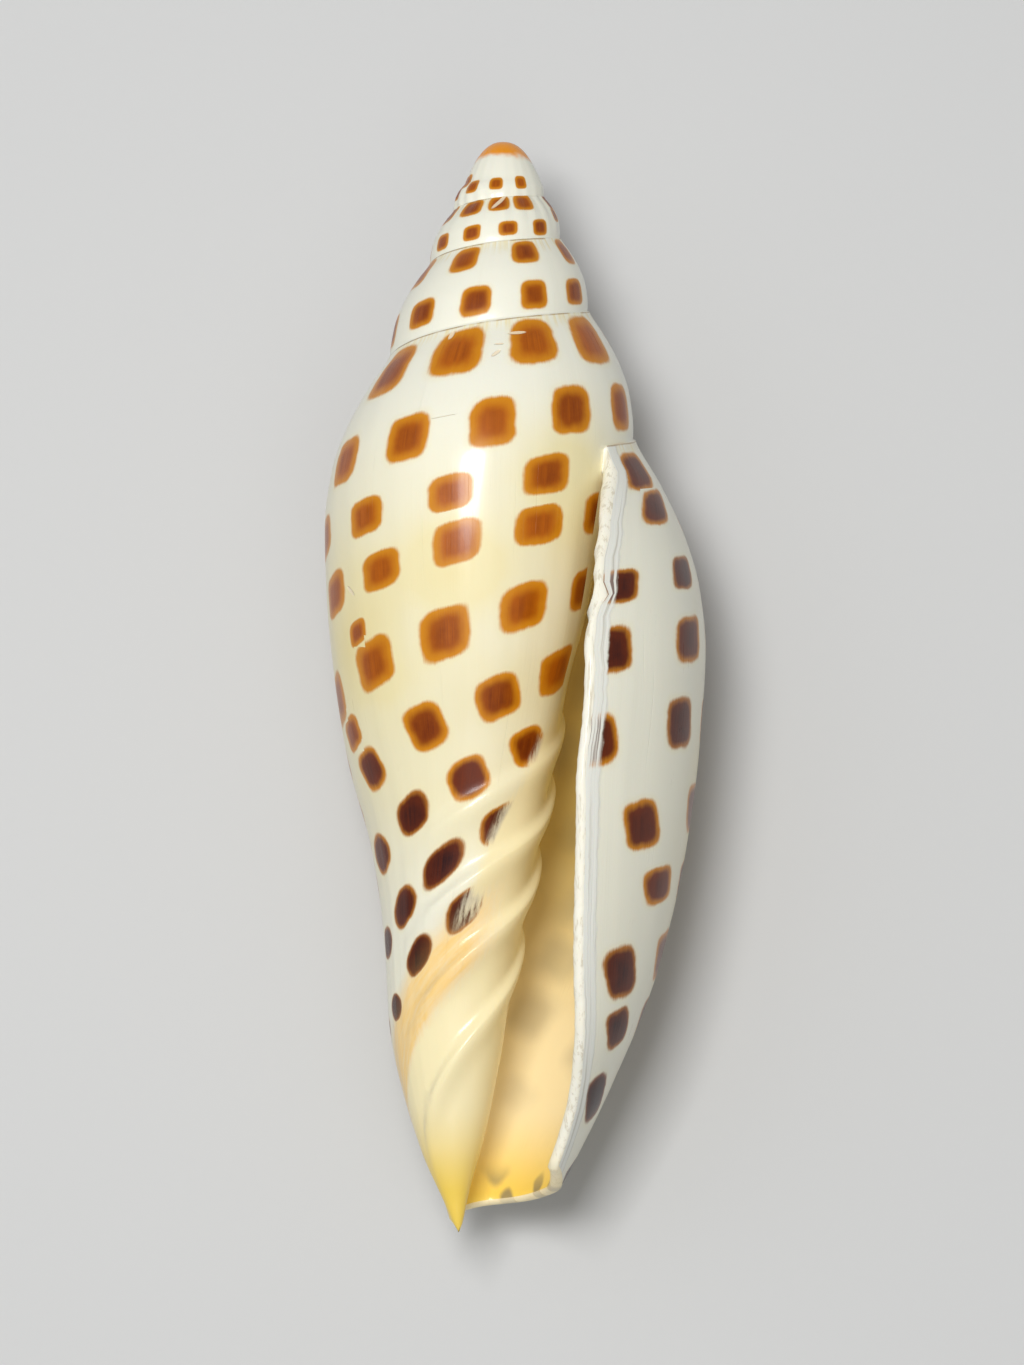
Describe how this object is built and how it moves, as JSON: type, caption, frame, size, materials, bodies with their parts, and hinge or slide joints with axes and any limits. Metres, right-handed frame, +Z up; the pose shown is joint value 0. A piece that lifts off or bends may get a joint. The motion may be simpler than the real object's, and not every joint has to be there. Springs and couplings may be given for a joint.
{
  "type": "volute seashell",
  "caption": "Long spindle-shaped volute seashell, cream with rows of dark brown squarish spots, lying on its back with the mouth up.",
  "frame": {"origin": "centre of the bounding box at its lowest plane, the ground the shell rests on", "axes": "+Y along the shell's coiling axis towards the apex, +X towards the outer lip's side, +Z up, the way the mouth faces"},
  "size_m": [0.035, 0.1, 0.0353],
  "materials": {
    "shell_lustre": "gloss"
  },
  "bodies": {
    "root": {"shell": "shell_lustre"}
  },
  "joints": []
}
